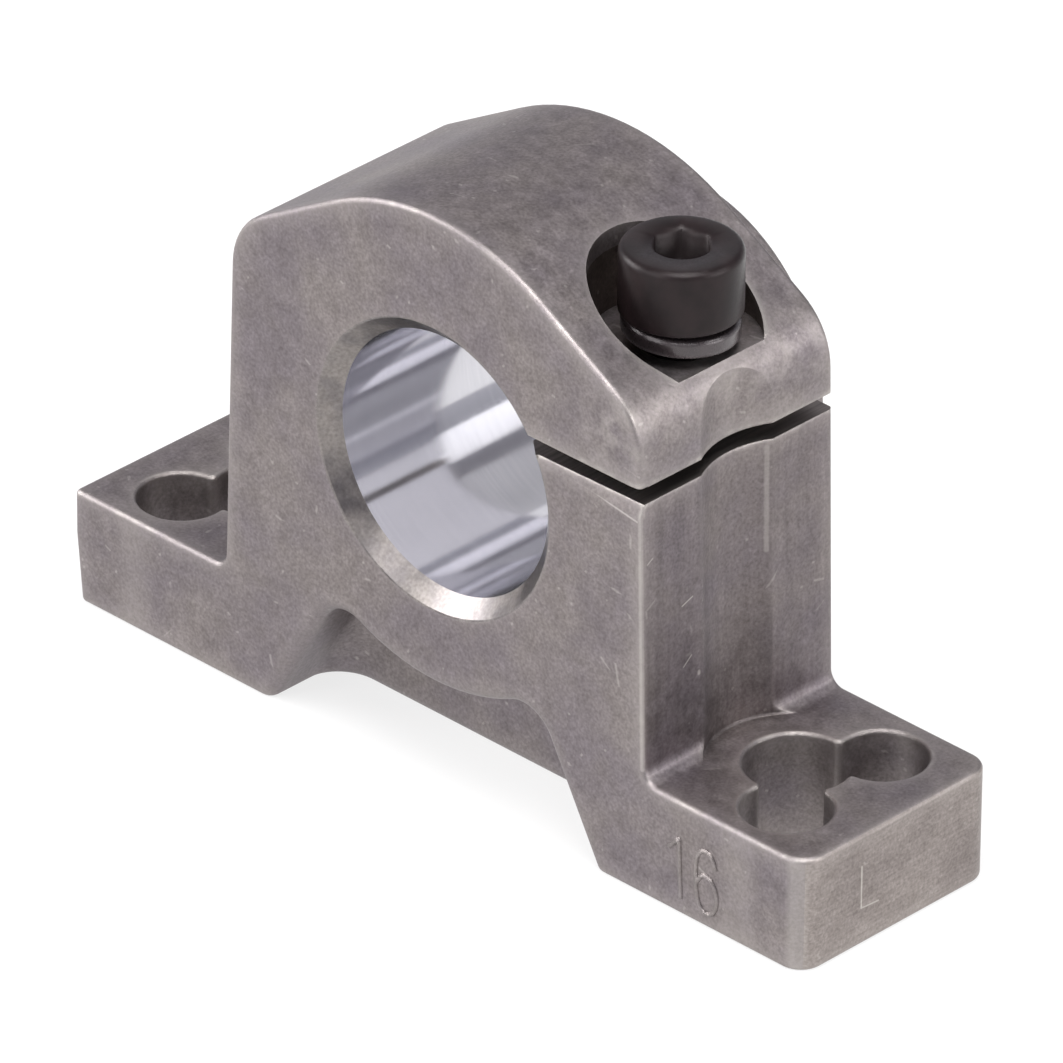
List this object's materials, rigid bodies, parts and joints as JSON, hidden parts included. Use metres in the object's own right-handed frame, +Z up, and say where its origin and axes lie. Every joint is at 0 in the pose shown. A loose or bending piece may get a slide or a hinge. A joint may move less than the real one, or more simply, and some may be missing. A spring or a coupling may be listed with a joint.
{
  "type": "shaft support block",
  "caption": "Die-cast shaft support block with a split clamping bore, a socket head clamp screw on a spring lock washer, and lobed mounting holes in its feet.",
  "frame": {"origin": "on the mounting face, straight below the axis of the shaft bore, midway between the two faces of the feet", "axes": "+X along the length of the feet, towards the clamp slit and screw; +Y along the shaft, towards the hub at the back; +Z up from the mounting face"},
  "size_m": [0.0572, 0.0209, 0.0364],
  "materials": {
    "casting": "die cast and tumbled, bore reamed bright",
    "screw_steel": "black oxide",
    "washer_steel": "black oxide"
  },
  "bodies": {
    "root": {"support_body": "casting", "clamp_screw": "screw_steel", "lock_washer": "washer_steel"}
  },
  "joints": []
}
